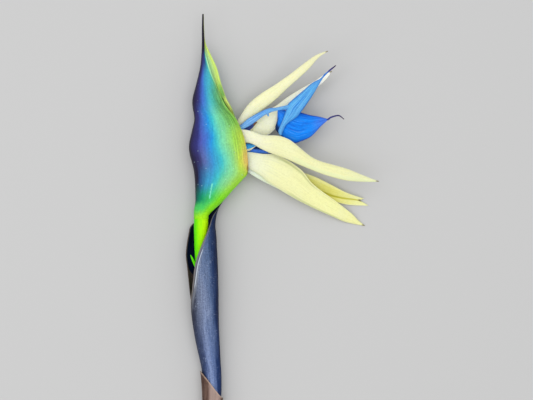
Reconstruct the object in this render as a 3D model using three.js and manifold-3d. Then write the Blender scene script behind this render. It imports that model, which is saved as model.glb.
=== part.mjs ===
// Bird of paradise flower, cut and laid on its side. Millimetres, +Z up, lying on z = 0.
// The stem runs along Y with its cut end at -Y and the beak of the spathe at +Y.
// The flowers leave the slit of the spathe towards +X.

import * as THREE from 'three';
import { mergeVertices } from 'three/addons/utils/BufferGeometryUtils.js';
import Module from 'manifold-3d';

const wasm = await Module();
wasm.setup();

// ---- driving dimensions -------------------------------------------------------------------

const seatGap = 0.35; // left between two pieces that sit on each other

const stem = {
  cutEnd: -170.5,
  sheathShoulder: -143.5, // the upper sheath stands on this step of the stem
  neckShoulder: 7.6, // the spathe stands on this one
  top: 25, // inside the spathe, where the two flowers begin
  neckRadius: 5.4,
  shaftRadius: 5.1,
  footRadius: 6.6,
  coreRadius: 3.5,
  topRadius: 3.3,
  sides: 14,
};

const spatheMiddle = 13.3; // height of the spathe's middle plane, where the neck meets it

const wall = {
  spathe: 1.5,
  spatheFoot: 1.0,
  spatheTip: 0.4,
  sheath: 1.0,
  sepal: 1.0,
  petal: 0.9,
};

const lowerSheath = { foot: -169.5, lipRight: -136.5, lipLeft: -115, x: -57.3, z: 8.15, radius: 8.1 };

const flower = {
  upperFace: -45, // x of the plane where the upper flower's sepals and petals start
  lowerFace: -42.5,
};

// ---- building blocks ----------------------------------------------------------------------

// A smooth path through rows of numbers, read at t from 0 to 1.
function along(rows, t) {
  const place = THREE.MathUtils.clamp(t, 0, 1) * (rows.length - 1);
  const here = Math.min(Math.floor(place), rows.length - 2);
  const s = place - here;
  const at = (i) => rows[THREE.MathUtils.clamp(i, 0, rows.length - 1)];
  return rows[here].map((value, k) => {
    const next = at(here + 1)[k];
    const slopeIn = (next - at(here - 1)[k]) / 2;
    const slopeOut = (at(here + 2)[k] - value) / 2;
    const s2 = s * s;
    const s3 = s2 * s;
    return value * (2 * s3 - 3 * s2 + 1) + slopeIn * (s3 - 2 * s2 + s)
      + next * (3 * s2 - 2 * s3) + slopeOut * (s3 - s2);
  });
}

function signedVolume(positions, faces) {
  let six = 0;
  for (const [a, b, c] of faces) {
    six += positions[a].dot(new THREE.Vector3().crossVectors(positions[b], positions[c]));
  }
  return six / 6;
}

function closedGeometry(positions, faces) {
  const turned = signedVolume(positions, faces) < 0;
  const index = faces.flatMap(([a, b, c]) => (turned ? [a, c, b] : [a, b, c]));
  const geometry = new THREE.BufferGeometry();
  geometry.setAttribute('position', new THREE.Float32BufferAttribute(positions.flatMap((p) => p.toArray()), 3));
  geometry.setIndex(index);
  return geometry;
}

// A leaf-like sheet: surface(u, v) is carried to two sides along its normal and closed round
// its four edges. layers(u, v) gives the two distances along the normal.
function sheet(surface, columns, rows, layers) {
  const step = 0.002;
  const normalAt = (u, v) => {
    const across = surface(Math.min(u + step, 1), v).sub(surface(Math.max(u - step, 0), v));
    const down = surface(u, Math.min(v + step, 1)).sub(surface(u, Math.max(v - step, 0)));
    return across.cross(down).normalize();
  };
  const positions = [];
  for (let j = 0; j <= rows; j += 1) {
    for (let i = 0; i <= columns; i += 1) {
      const u = i / columns;
      const v = j / rows;
      const normal = normalAt(u, v);
      for (const distance of layers(u, v)) {
        positions.push(surface(u, v).addScaledVector(normal, distance));
      }
    }
  }
  const corner = (i, j, side) => 2 * (j * (columns + 1) + i) + side;
  const faces = [];
  const quad = (a, b, c, d) => faces.push([a, b, c], [a, c, d]);
  for (let j = 0; j < rows; j += 1) {
    for (let i = 0; i < columns; i += 1) {
      quad(corner(i, j, 1), corner(i + 1, j, 1), corner(i + 1, j + 1, 1), corner(i, j + 1, 1));
      quad(corner(i, j, 0), corner(i, j + 1, 0), corner(i + 1, j + 1, 0), corner(i + 1, j, 0));
    }
    quad(corner(0, j, 0), corner(0, j, 1), corner(0, j + 1, 1), corner(0, j + 1, 0));
    quad(corner(columns, j, 0), corner(columns, j + 1, 0), corner(columns, j + 1, 1), corner(columns, j, 1));
  }
  for (let i = 0; i < columns; i += 1) {
    quad(corner(i, 0, 0), corner(i + 1, 0, 0), corner(i + 1, 0, 1), corner(i, 0, 1));
    quad(corner(i, rows, 0), corner(i, rows, 1), corner(i + 1, rows, 1), corner(i + 1, rows, 0));
  }
  return closedGeometry(positions, faces);
}

// A sepal or petal between two edges, given as points from its base to its tip.
// cup lifts the middle, as a part of the width, and fold above 0 makes the middle a sharp
// crease. notch draws the middle of the tip back, so that the two edges end in two points.
function bladeSurface({ upper, lower, cup = 0.12, fold = 0, notch = 0, flatBase = true }) {
  const curves = [upper, lower].map((edge) => new THREE.CatmullRomCurve3(
    edge.map((p) => new THREE.Vector3(...p)),
  ));
  return (u, v) => {
    const [a, b] = curves.map((curve) => curve.getPointAt(v));
    const [ta, tb] = curves.map((curve) => curve.getTangentAt(v));
    const forward = ta.add(tb).normalize();
    const across = new THREE.Vector3().subVectors(b, a);
    const width = across.length();
    const lift = across.clone().cross(forward).normalize();
    if (lift.z < 0) {
      lift.negate();
    }
    const round = 4 * u * (1 - u);
    const sharp = 1 - Math.abs(2 * u - 1);
    const start = flatBase ? THREE.MathUtils.smoothstep(v, 0, 0.2) : 1;
    const height = start * cup * width * THREE.MathUtils.lerp(round, sharp, fold);
    const back = notch * sharp * THREE.MathUtils.smoothstep(v, 0.8, 1);
    return a.addScaledVector(across, u).addScaledVector(lift, height).addScaledVector(forward, -back);
  };
}

function blade(shape, { columns = 6, rows = 12, thickness = wall.sepal } = {}) {
  const layers = (u, v) => {
    const half = 0.5 * thickness * THREE.MathUtils.lerp(1, 0.5, THREE.MathUtils.smoothstep(v, 0.6, 1));
    return [-half, half];
  };
  return sheet(bladeSurface(shape), columns, rows, layers);
}

// A solid stalk through rows of [x, y, z, half width, half height]; with steps it is smoothed.
function rod(rows, sides, steps = 0) {
  const stations = steps ? Array.from({ length: steps + 1 }, (_, k) => along(rows, k / steps)) : rows;
  const positions = [];
  stations.forEach(([x, y, z, halfWidth, halfHeight], k) => {
    const before = new THREE.Vector3(...stations[Math.max(k - 1, 0)]);
    const after = new THREE.Vector3(...stations[Math.min(k + 1, stations.length - 1)]);
    const forward = after.sub(before).setZ(0).normalize();
    const side = new THREE.Vector3(-forward.y, forward.x, 0);
    for (let i = 0; i < sides; i += 1) {
      const angle = (2 * Math.PI * i) / sides;
      positions.push(new THREE.Vector3(x, y, z)
        .addScaledVector(side, halfWidth * Math.cos(angle))
        .add(new THREE.Vector3(0, 0, halfHeight * Math.sin(angle))));
    }
  });
  const faces = [];
  const last = stations.length - 1;
  for (let k = 0; k < last; k += 1) {
    for (let i = 0; i < sides; i += 1) {
      const a = k * sides + i;
      const b = k * sides + ((i + 1) % sides);
      faces.push([a, b, b + sides], [a, b + sides, a + sides]);
    }
  }
  for (let i = 1; i < sides - 1; i += 1) {
    faces.push([0, i + 1, i], [last * sides, last * sides + i, last * sides + i + 1]);
  }
  return closedGeometry(positions, faces);
}

// Two pieces that grew as one, joined in one solid.
function grownTogether(...geometries) {
  const solids = geometries.map((geometry) => {
    const merged = mergeVertices(geometry);
    return new wasm.Manifold(new wasm.Mesh({
      numProp: 3,
      vertProperties: new Float32Array(merged.attributes.position.array),
      triVerts: new Uint32Array(merged.index.array),
    }));
  });
  const mesh = solids.reduce((whole, solid) => whole.add(solid)).getMesh();
  const geometry = new THREE.BufferGeometry();
  geometry.setAttribute('position', new THREE.BufferAttribute(mesh.vertProperties, 3));
  geometry.setIndex(new THREE.BufferAttribute(mesh.triVerts, 1));
  return geometry;
}

const model = new THREE.Group();

function addPiece(name, geometry, color, roughness) {
  geometry.computeVertexNormals();
  const piece = new THREE.Mesh(geometry, new THREE.MeshStandardMaterial({ color, roughness, metalness: 0 }));
  piece.name = name;
  model.add(piece);
}

const colours = {
  lime: 0x8dea14,
  night: 0x3a4668,
  brown: 0x69534c,
  rainbow: 0x46a0c8,
  cream: 0xf4f4c0,
  skyBlue: 0x59ace8,
  deepBlue: 0x1678de,
  indigo: 0x3c3470,
  pale: 0xdfe6c8,
};

// ---- stem ---------------------------------------------------------------------------------

// The flower stalk, from its cut end up through both sheaths and the bare neck into the spathe.
// A torn lime sliver stands off its left side.
function stalk() {
  const round = (x, y, z, radius) => [x, y, z, radius, radius];
  const body = rod([
    round(-57, stem.cutEnd, 8.2, stem.footRadius - 0.1),
    round(-57, -160, 8.2, stem.footRadius),
    round(-57, stem.sheathShoulder, 8.2, stem.footRadius),
    round(-57, stem.sheathShoulder + 0.3, 8.2, stem.shaftRadius),
    round(-57, -117, 8.4, stem.shaftRadius),
    round(-58.5, -106.5, 8.9, stem.shaftRadius),
    round(-60.5, -90.5, 10, stem.shaftRadius),
    round(-62.5, -68, 11, stem.shaftRadius),
    round(-64, -42.5, 11.8, stem.shaftRadius),
    round(-65, -18, 12.4, stem.shaftRadius),
    round(-65.8, -2, 13.1, stem.neckRadius),
    round(-65.85, stem.neckShoulder, spatheMiddle, stem.neckRadius),
    round(-65.75, stem.neckShoulder + 0.3, spatheMiddle, stem.coreRadius),
    round(-65, 17.5, spatheMiddle, stem.coreRadius),
    round(-64.5, stem.top, spatheMiddle, stem.topRadius),
  ], stem.sides);
  const sliver = rod([
    [-68, -33.5, 14.5, 1.3, 1.4],
    [-70.8, -29, 15.2, 1.3, 0.9],
    [-72.3, -25.6, 15.8, 0.9, 0.6],
    [-73.7, -22.3, 16.4, 0.3, 0.3],
  ], 6);
  return grownTogether(body, sliver);
}

// ---- sheaths ------------------------------------------------------------------------------

// A leaf base wrapped round the stem: an arc from its front edge to its back edge, in degrees
// from +X towards +Z, at each row [y, centre x, centre z, radius in x, in z, front, back].
function wrapSurface(rows) {
  return (u, v) => {
    const [y, x, z, radiusX, radiusZ, front, back] = along(rows, v);
    const angle = THREE.MathUtils.degToRad(THREE.MathUtils.lerp(front, back, u));
    return new THREE.Vector3(x + radiusX * Math.cos(angle), y, z + radiusZ * Math.sin(angle));
  };
}

// The upper sheath stands open in a long V towards the front left, and its tip lies behind
// the spathe. Below the V its edges meet at the left.
function upperSheath() {
  const meet = 178.3;
  const rows = [
    [28, -53, 6, 6, 4.6, -40, -62],
    [23, -54, 6.5, 7, 5.2, -15, -97],
    [17, -58, 7.6, 8, 7, 12, -98],
    [9.5, -61, 9.2, 8.1, 8.6, 48, -112],
    [1.5, -64.5, 10.2, 10.5, 9.8, 56, -136],
    [-4.5, -64.8, 10.7, 11.2, 10.4, 70, -168],
    [-12, -65, 11, 12, 10.8, 86, -179.5],
    [-22.5, -65, 11.3, 12.5, 11.2, 104, -179.5],
    [-32, -64.4, 11.3, 12.3, 11.2, 120, -179.5],
    [-42.5, -64, 11.2, 12.1, 11.1, 133, -179.5],
    [-52, -63.4, 11, 11.7, 10.9, 146, -179.5],
    [-61, -62.9, 10.8, 11.3, 10.7, 172, meet - 360 + 2 * (180 - meet)],
    [-75, -62, 10.4, 10.7, 10.3, meet, -meet],
    [-90.5, -60.4, 9.7, 9.7, 9.6, meet, -meet],
    [-106.5, -58.2, 8.5, 8.1, 8.1, meet, -meet],
    [-115, -56.8, 8.3, 7.1, 7.2, meet, -meet],
    [-125, -56.8, 8.2, 6.7, 6.75, meet, -meet],
    [-134, -57, 8.15, 6.6, 6.65, meet, -meet],
    [stem.sheathShoulder + 0.3 + seatGap, -57.1, 8.15, 6.6, 6.6, meet, -meet],
  ];
  return sheet(wrapSurface(rows), 16, 22, () => [0, wall.sheath]);
}

// The lower sheath is a short tube with a slanted mouth, highest at the left.
function brownSheath() {
  const { foot, lipRight, lipLeft, x, z, radius } = lowerSheath;
  const surface = (u, v) => {
    const angle = THREE.MathUtils.lerp(1.5, 358.5, u) * THREE.MathUtils.DEG2RAD;
    const lip = THREE.MathUtils.lerp(lipRight, lipLeft, ((1 - Math.cos(angle)) / 2) ** 1.1);
    const y = THREE.MathUtils.lerp(lip, foot, v);
    return new THREE.Vector3(x + radius * Math.cos(angle), y, z + radius * Math.sin(angle));
  };
  return sheet(surface, 18, 5, () => [-wall.sheath, 0]);
}

// ---- spathe -------------------------------------------------------------------------------

// The spathe is one boat-shaped bract folded along its keel at the left, open in a slit at
// the right. Each row is [y, keel x, front edge x, back edge x, half depth, and how far the
// front and the back edge stand from the middle plane].
const spatheRows = [
  [170.5, -64.4, -63.1, -63.1, 0.75, 0.4, 0.4],
  [159, -64.7, -62.7, -62.5, 1.0, 0.5, 0.4],
  [148, -64.7, -62, -61, 1.7, 0.8, 0.5],
  [138.5, -65.5, -61.5, -57, 3.0, 1.8, 0.6],
  [127, -67, -58, -52.5, 5.0, 3.6, 1.4],
  [114.5, -70, -54, -48.5, 7.4, 5.4, 2.6],
  [102.5, -72.4, -50.2, -44, 9.5, 6.8, 4.2],
  [95, -72.2, -45, -40.5, 10.7, 7.6, 5.6],
  [86, -72.2, -37, -37.5, 11.7, 8.2, 6.8],
  [73, -74, -31.4, -32.5, 12.6, 8.6, 7.8],
  [65.5, -75, -29.6, -31, 12.9, 8.6, 8.0],
  [58.5, -74.5, -28.4, -29.5, 12.8, 8.2, 7.8],
  [47, -72, -27.5, -28.5, 12.3, 5.6, 5.4],
  [42, -71.2, -28.6, -28.6, 11.9, 2.6, 2.6],
  [37.5, -70.5, -33, -33, 11.4, 0.2, 0.2],
  [29.5, -70, -40, -40, 10, 0.2, 0.2],
  [20, -70.4, -48, -48, 8, 0.2, 0.2],
  [13.5, -71, -55.5, -55.5, 6.5, 0.2, 0.2],
  [stem.neckShoulder + seatGap, -71.3, -60.4, -60.4, 5.45, 0.2, 0.2],
];

function spatheSurface(u, v) {
  const [y, keel, frontEdge, backEdge, halfDepth, frontGap, backGap] = along(spatheRows, v);
  const front = u <= 0.5;
  const s = front ? 2 * u : 2 * (1 - u); // 0 at the edge, 1 at the keel
  const edge = front ? frontEdge : backEdge;
  const gap = front ? frontGap : backGap;
  const belly = (halfDepth - 0.125 * gap) / 0.7125;
  const r = 1 - s;
  const weights = [r * r * r, 3 * r * r * s, 3 * r * s * s, s * s * s];
  const x = edge * (weights[0] + weights[1]) + keel * (weights[2] + weights[3]);
  const depth = gap * weights[0] + belly * weights[1] + 0.9 * belly * weights[2];
  return new THREE.Vector3(x, y, spatheMiddle + (front ? depth : -depth));
}

function spathe() {
  const layers = (u, v) => {
    const fromTip = THREE.MathUtils.smoothstep(v, 0, 0.32);
    const toFoot = THREE.MathUtils.smoothstep(v, 0.85, 1);
    const body = THREE.MathUtils.lerp(wall.spatheTip, wall.spathe, fromTip);
    return [-THREE.MathUtils.lerp(body, wall.spatheFoot, toFoot), 0];
  };
  return sheet(spatheSurface, 20, 26, layers);
}

// ---- the two flowers ----------------------------------------------------------------------

// Each flower has a base inside the spathe: a stalk that swells into the seed case and ends
// in the face that its sepals and petals stand on.
function flowerBases() {
  const floor = stem.top + seatGap;
  const upper = [
    [-66.3, floor, 13, 1.6, 1.8],
    [-66, 38, 13, 2, 2.4],
    [-63, 55, 13.2, 2.8, 3.2],
    [-57, 70, 13.6, 3.7, 4.3],
    [-51, 73.2, 14, 4.2, 5],
    [-48, 73.8, 14, 4.3, 5.2],
    [-46.5, 73.8, 14, 4.4, 5.4],
    [flower.upperFace - seatGap, 73.8, 14, 4.4, 5.4],
  ];
  const lower = [
    [-62.6, floor, 13, 1.6, 1.8],
    [-61, 34, 13, 2, 2.4],
    [-56.5, 46, 13.2, 2.9, 3.3],
    [-52, 55, 13.4, 3.9, 4.5],
    [-48.5, 57.2, 13.5, 4.5, 5.1],
    [-45.5, 57.6, 13.5, 4.6, 5.2],
    [-44, 57.6, 13.5, 4.7, 5.3],
    [flower.lowerFace - seatGap, 57.6, 13.5, 4.8, 5.4],
  ];
  addPiece('flower_base_upper', rod(upper, 12, 10), colours.pale, 0.6);
  addPiece('flower_base_lower', rod(lower, 12, 10), colours.pale, 0.6);
}

const sepals = {
  sepal_upper_outer: {
    upper: [[-45, 77, 12.8], [-37.5, 83.5, 13], [-28, 97.5, 14.5], [-17.5, 106.5, 17.5], [-5.5, 114, 22],
      [6.5, 122.5, 26], [17, 130.5, 30], [26.5, 137, 33.5], [36, 140.5, 35.5]],
    lower: [[-45, 73, 13.4], [-33.5, 81, 13.8], [-16.5, 93.5, 15], [-6, 101.5, 18.5], [4, 111, 22.5],
      [13, 119, 26.5], [21, 126.5, 30.5], [28.5, 135, 33.8], [36, 140, 35.3]],
    cup: 0.16,
  },
  sepal_upper_back: {
    upper: [[-45, 74.5, 10.6], [-34, 82, 10], [-21.5, 89.5, 9.8], [-12, 94, 10], [-5.5, 97, 10.4],
      [4, 104, 11], [14.5, 110.5, 11.6], [26, 117, 12.4], [33, 122, 13.2], [39, 125, 14]],
    lower: [[-45, 70, 10.6], [-32, 71, 10], [-21.5, 70.5, 9.6], [-13.5, 72.5, 9.8], [-7.5, 77, 10.2],
      [-4, 81.5, 10.6], [4, 91, 11], [14, 99, 11.4], [22.5, 107, 12], [28.5, 112.5, 12.4], [34, 117.5, 13.2],
      [39.5, 124.5, 14]],
    cup: 0.1,
  },
  sepal_upper_front: {
    upper: [[-45, 75, 18], [-36, 78, 18.3], [-26, 77, 19.4], [-16.5, 73.5, 21.4], [-4.5, 73, 23.2],
      [4, 70.5, 24.5], [10.5, 66, 25], [21.5, 57, 25], [30.5, 52.5, 24.6], [50, 47, 23], [62, 42.5, 21.2],
      [77, 37, 18.5]],
    lower: [[-45, 71, 18], [-36, 67.5, 18], [-26, 67, 18.6], [-16.5, 62, 20.2], [-8.5, 58.5, 21.6],
      [2.5, 54.5, 23.4], [15, 49, 24.2], [30, 43, 24], [41, 39.5, 23.4], [52, 37, 22.4], [64, 36, 20.6],
      [77, 36, 18.3]],
    cup: 0.14,
  },
  sepal_lower_front: {
    upper: [[-42.5, 59, 16.2], [-28.5, 60, 15.8], [-16, 58.5, 16.2], [-7, 58, 16.8], [4, 53.5, 16.8],
      [15, 45.5, 15.6], [19.5, 40, 14.6], [23.5, 35, 13], [31.5, 28.5, 10.6], [42, 21, 7.4], [56, 10.5, 3.3],
      [61.5, 5, 1.3], [65, 1.5, 0.35]],
    lower: [[-42.5, 54.5, 16.4], [-34, 50, 15.8], [-26, 46, 15.2], [-18, 41.5, 14.4], [-9.5, 34.5, 13.4],
      [6.5, 25, 10.6], [16, 19.5, 8.8], [27.5, 14, 6.8], [39.5, 8.5, 4.4], [50, 4, 2.1], [58, 2, 0.9],
      [65, 1, 0.35]],
    cup: 0.1,
  },
  sepal_lower_back: {
    upper: [[-42.5, 59.5, 10.4], [-28.5, 57.5, 9.6], [-14, 52, 8.6], [2, 47, 7.8], [18, 43, 7],
      [27.5, 39.5, 6.4], [39.5, 33.5, 5.2], [51.5, 27.5, 3.6], [65, 22.5, 1.9]],
    lower: [[-42.5, 55.5, 10.2], [-28.5, 49, 9.2], [-14, 41.5, 7.6], [2, 35, 5.8], [18, 29, 4.2],
      [30.5, 24, 3], [42.5, 20, 2.2], [54, 17.5, 1.2], [68, 17.5, 0.4]],
    cup: -0.08,
    fold: 1,
    notch: 4,
  },
  sepal_lower_inner: {
    upper: [[-42.5, 56.5, 12.6], [-29.5, 53.5, 12.2], [-16.5, 47, 11.6], [-5.5, 40, 10.6], [6, 31, 9],
      [15.5, 23, 7.6]],
    lower: [[-42.5, 53.5, 12.6], [-32.5, 47.5, 12.2], [-26, 42, 11.8], [-15, 35, 10.8], [-4.5, 29, 9.6],
      [6, 24, 8.4], [16, 21, 7.4]],
    cup: 0.08,
  },
};

// The arrow of each flower is two petals grown together round the style: a narrow shaft and
// a wide head with a lobe that points back.
const arrows = {
  arrow_petal_upper: {
    color: colours.skyBlue,
    shaft: {
      upper: [[-45, 76, 15.3], [-34, 81.5, 17], [-27, 87, 18.8], [-16, 93, 20.6], [-10, 95, 21.6],
        [-4.5, 95.5, 22.2], [6, 98, 22.8]],
      lower: [[-45, 72.5, 15.3], [-31, 78.5, 17], [-24.5, 82, 18.8], [-16.5, 88, 20.4], [-11, 91, 21.4],
        [-4.5, 93, 22], [6.5, 94, 22.6]],
      cup: 0.2,
    },
    head: {
      upper: [[-2, 73, 20], [-3.5, 77, 20.4], [-0.5, 84.5, 21.4], [2.5, 93, 22.2], [4, 98, 22.6],
        [10.5, 104, 23.4], [17, 109.5, 24], [23.5, 115, 24.6], [30, 118.5, 25.2], [33, 122, 25.6], [37, 125, 26]],
      lower: [[-1, 73.5, 20], [2, 80.5, 20.6], [5.5, 84, 21.2], [11.5, 88, 21.8], [15.5, 93, 22.4],
        [19.5, 98.5, 23], [23.5, 104.5, 23.6], [28, 112, 24.4], [31.5, 118, 25.2], [34, 121, 25.6],
        [37.5, 124.5, 26]],
      cup: 0.14,
      fold: 0.5,
    },
  },
  arrow_petal_lower: {
    color: colours.deepBlue,
    shaft: {
      upper: [[-42.5, 62, 12.4], [-34, 65, 12.2], [-24.5, 66, 12.4], [-15, 64.5, 13], [-8, 64.5, 14],
        [-0.5, 69.5, 15.2], [6, 77, 16.8]],
      lower: [[-42.5, 58.5, 12.4], [-34, 59.5, 12.2], [-24.5, 59, 12.4], [-15, 58.5, 13], [-6, 59, 14],
        [2.5, 64.5, 15.2], [11.5, 72, 16.8]],
      cup: 0.1,
    },
    head: {
      upper: [[-4, 93.5, 16.6], [2, 93.5, 16.8], [8, 92.5, 17], [14.5, 91.5, 17.2], [22, 89.5, 17.6],
        [28, 88.5, 18], [35.5, 86.5, 18.6]],
      lower: [[-4, 92, 16.6], [-3.5, 83, 16.8], [-1.5, 76, 17], [2.5, 70, 17], [9.5, 67, 17],
        [14.5, 68.5, 17.2], [21.5, 71.5, 17.4], [26, 75.5, 17.8], [30.5, 80.5, 18.2], [35.5, 85, 18.6]],
      cup: 0.08,
      fold: 0.3,
    },
  },
};

const styles = {
  style_upper: [[37.6, 125.1, 26.1, 0.7, 0.5], [40, 127, 26.4, 0.6, 0.5], [42.5, 129, 26.8, 0.35, 0.35]],
  style_lower: [[36.2, 85.9, 18.7, 0.8, 0.5], [38.5, 87.6, 19, 0.7, 0.5], [43.5, 89, 19.4, 0.6, 0.5],
    [46, 88.5, 19.6, 0.5, 0.45], [49, 86, 19.8, 0.35, 0.35]],
};

// The small third petal of each flower, short and close to the base of the arrow.
const smallPetals = {
  small_petal_upper: {
    upper: [[-45, 71.6, 14.4], [-36, 77, 14.6], [-29.5, 80, 15.2], [-23, 83.5, 16]],
    lower: [[-45, 70, 14.4], [-36, 74, 14.4], [-27, 77, 15], [-22.5, 83, 15.9]],
    cup: 0.1,
  },
  small_petal_lower: {
    upper: [[-42.5, 62, 14.5], [-34, 65, 14.5], [-28, 67, 14.7], [-21.5, 65.5, 14.9]],
    lower: [[-42.5, 59.6, 14.5], [-34, 60, 14.4], [-27, 60.5, 14.5], [-21.5, 64.5, 14.8]],
    cup: 0.1,
  },
};

function flowers() {
  for (const [name, shape] of Object.entries(sepals)) {
    addPiece(name, blade(shape), colours.cream, 0.6);
  }
  for (const [name, { color, shaft, head }] of Object.entries(arrows)) {
    const shaftSolid = blade(shaft, { columns: 4, rows: 10, thickness: wall.petal });
    const headSolid = blade({ ...head, flatBase: false }, { rows: 12, thickness: wall.petal });
    addPiece(name, grownTogether(shaftSolid, headSolid), color, 0.5);
  }
  for (const [name, rows] of Object.entries(styles)) {
    addPiece(name, rod(rows, 6), colours.indigo, 0.6);
  }
  for (const [name, shape] of Object.entries(smallPetals)) {
    addPiece(name, blade(shape, { columns: 4, rows: 6, thickness: wall.petal }), colours.deepBlue, 0.5);
  }
}

// ---- the whole flower ---------------------------------------------------------------------

addPiece('flower_stalk', stalk(), colours.lime, 0.5);
addPiece('upper_sheath', upperSheath(), colours.night, 0.6);
addPiece('lower_sheath', brownSheath(), colours.brown, 0.6);
addPiece('spathe', spathe(), colours.rainbow, 0.45);
flowerBases();
flowers();

export default model;
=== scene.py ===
import bisect
import math

import bmesh
import bpy
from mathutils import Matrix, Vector, noise


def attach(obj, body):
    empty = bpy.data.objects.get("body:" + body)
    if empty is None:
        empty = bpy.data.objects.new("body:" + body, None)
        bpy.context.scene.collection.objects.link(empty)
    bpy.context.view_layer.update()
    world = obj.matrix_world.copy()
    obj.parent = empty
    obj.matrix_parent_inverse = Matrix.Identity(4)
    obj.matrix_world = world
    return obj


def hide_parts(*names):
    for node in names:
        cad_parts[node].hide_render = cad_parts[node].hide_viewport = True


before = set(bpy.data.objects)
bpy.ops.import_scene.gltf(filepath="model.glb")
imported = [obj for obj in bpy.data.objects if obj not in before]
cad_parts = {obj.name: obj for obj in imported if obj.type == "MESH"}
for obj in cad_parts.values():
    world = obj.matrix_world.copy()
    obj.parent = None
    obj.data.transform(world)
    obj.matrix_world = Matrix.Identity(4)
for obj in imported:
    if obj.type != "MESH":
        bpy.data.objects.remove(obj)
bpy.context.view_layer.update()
scene = bpy.context.scene

mm = 0.001  # the tables below are in millimetres, in the frame of the CAD part
print("frame loaded:", len(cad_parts), "nodes")


def mixed(a, b, share):
    return a + (b - a) * share


def eased(value, low, high):
    share = min(max((value - low) / (high - low), 0.0), 1.0)
    return share * share * (3 - 2 * share)


def hill(value, middle, width):
    return math.exp(-(((value - middle) / width) ** 2))


# A smooth path through rows of numbers, read at t from 0 to 1.
def along(rows, t):
    place = min(max(t, 0.0), 1.0) * (len(rows) - 1)
    here = min(int(place), len(rows) - 2)
    s = place - here
    before = rows[max(here - 1, 0)]
    after = rows[min(here + 2, len(rows) - 1)]
    values = []
    for k, value in enumerate(rows[here]):
        following = rows[here + 1][k]
        slopeIn = (following - before[k]) / 2
        slopeOut = (after[k] - value) / 2
        values.append(
            value * (2 * s**3 - 3 * s**2 + 1) + slopeIn * (s**3 - 2 * s**2 + s)
            + following * (3 * s**2 - 2 * s**3) + slopeOut * (s**3 - s**2)
        )
    return values


# The same path read by its length, so that points along it stand at even distances.
def evenPath(points, samples=240):
    spots = [Vector(along(points, k / samples)) for k in range(samples + 1)]
    lengths = [0.0]
    for a, b in zip(spots, spots[1:]):
        lengths.append(lengths[-1] + (b - a).length)

    def at(share):
        goal = min(max(share, 0.0), 1.0) * lengths[-1]
        k = min(max(bisect.bisect_left(lengths, goal), 1), samples)
        part = (goal - lengths[k - 1]) / (lengths[k] - lengths[k - 1])
        return spots[k - 1].lerp(spots[k], part)

    return at


def wander(u, v, across, down, seed):
    return noise.noise(Vector((u * across, v * down, seed)))


# A grid moved onto a surface place(u, v), with a share of the wall at each point, and with
# chart(u, v) as its UV map.
def makeSheet(columns, rows, place, wallShare=None, chart=None):
    bm = bmesh.new()
    skin = bm.loops.layers.uv.new("skin")
    wall = bm.verts.layers.deform.verify()
    bmesh.ops.create_grid(bm, x_segments=columns, y_segments=rows, size=0.5, calc_uvs=True)
    if chart:
        for face in bm.faces:
            for loop in face.loops:
                loop[skin].uv = chart(*loop[skin].uv)
    for vert in bm.verts:
        u = vert.co.x + 0.5
        v = vert.co.y + 0.5
        vert[wall][0] = wallShare(u, v) if wallShare else 1.0
        vert.co = place(u, v) * mm
    return bm


# A grid rolled into a tube round rows of [x, y, z, half width, half height], and closed at
# both ends. shape(angle, v) swells or pinches it.
def makeTube(rows, sides, steps, shape=None, rim=0.25):
    def place(u, v):
        x, y, z, halfWidth, halfHeight = along(rows, v)
        ahead = Vector(along(rows, v + 0.01)[:2]) - Vector(along(rows, v - 0.01)[:2])
        ahead.normalize()
        side = Vector((-ahead.y, ahead.x, 0))
        angle = 2 * math.pi * u
        swell = shape(angle, v) if shape else 1.0
        spot = Vector((x, y, z)) + side * (halfWidth * swell * math.cos(angle))
        return spot + Vector((0, 0, halfHeight * swell * math.sin(angle)))

    bm = makeSheet(sides, steps, place)
    bmesh.ops.remove_doubles(bm, verts=bm.verts, dist=0.00001)
    rims = [edge for edge in bm.edges if edge.is_boundary]
    ends = bmesh.ops.holes_fill(bm, edges=rims, sides=0)["faces"]
    bmesh.ops.inset_individual(bm, faces=ends, thickness=rim * mm, depth=0)
    bmesh.ops.recalc_face_normals(bm, faces=bm.faces)
    return bm


def joinMeshes(first, other):
    spare = bpy.data.meshes.new("spare")
    other.to_mesh(spare)
    other.free()
    first.from_mesh(spare)
    bpy.data.meshes.remove(spare)


# Makes the piece that stands for a CAD node, with its finishes: the outside first and, where a
# wall has two, the inside last. side is -1 when the wall goes inwards from the mesh, and 0 when
# it goes both ways. thinnest is the share of the wall that is left at a margin.
def finishPiece(bm, node, finishes, wall=0.0, side=0, thinnest=0.2, rimFinish=0):
    name = node + "Look"
    mesh = bpy.data.meshes.new(name)
    bm.normal_update()
    bm.to_mesh(mesh)
    bm.free()
    for finish in finishes:
        mesh.materials.append(finish)
    mesh.shade_smooth()
    piece = bpy.data.objects.new(name, mesh)
    scene.collection.objects.link(piece)
    if wall:
        piece.vertex_groups.new(name="wall")
        thicken = piece.modifiers.new("wall", "SOLIDIFY")
        thicken.thickness = wall * mm
        thicken.offset = side
        thicken.vertex_group = "wall"
        thicken.thickness_vertex_group = thinnest
        thicken.material_offset = len(finishes) - 1
        thicken.material_offset_rim = rimFinish
    rounding = piece.modifiers.new("rounding", "SUBSURF")
    rounding.levels = 1
    rounding.render_levels = 1
    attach(piece, "root")
    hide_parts(node)


def linear(channel):
    share = channel / 255
    return share / 12.92 if share <= 0.04045 else ((share + 0.055) / 1.055) ** 2.4


def paint(colour):
    return tuple(linear(channel) for channel in colour) + (1.0,)


def startFinish(name, roughness, gloss, more=None):
    skin = bpy.data.materials.new(name)
    skin.use_nodes = True
    inputs = skin.node_tree.nodes["Principled BSDF"].inputs
    settings = {"Roughness": roughness, "Specular IOR Level": gloss, **(more or {})}
    for key, value in settings.items():
        inputs[key].default_value = value
    return skin


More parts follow.
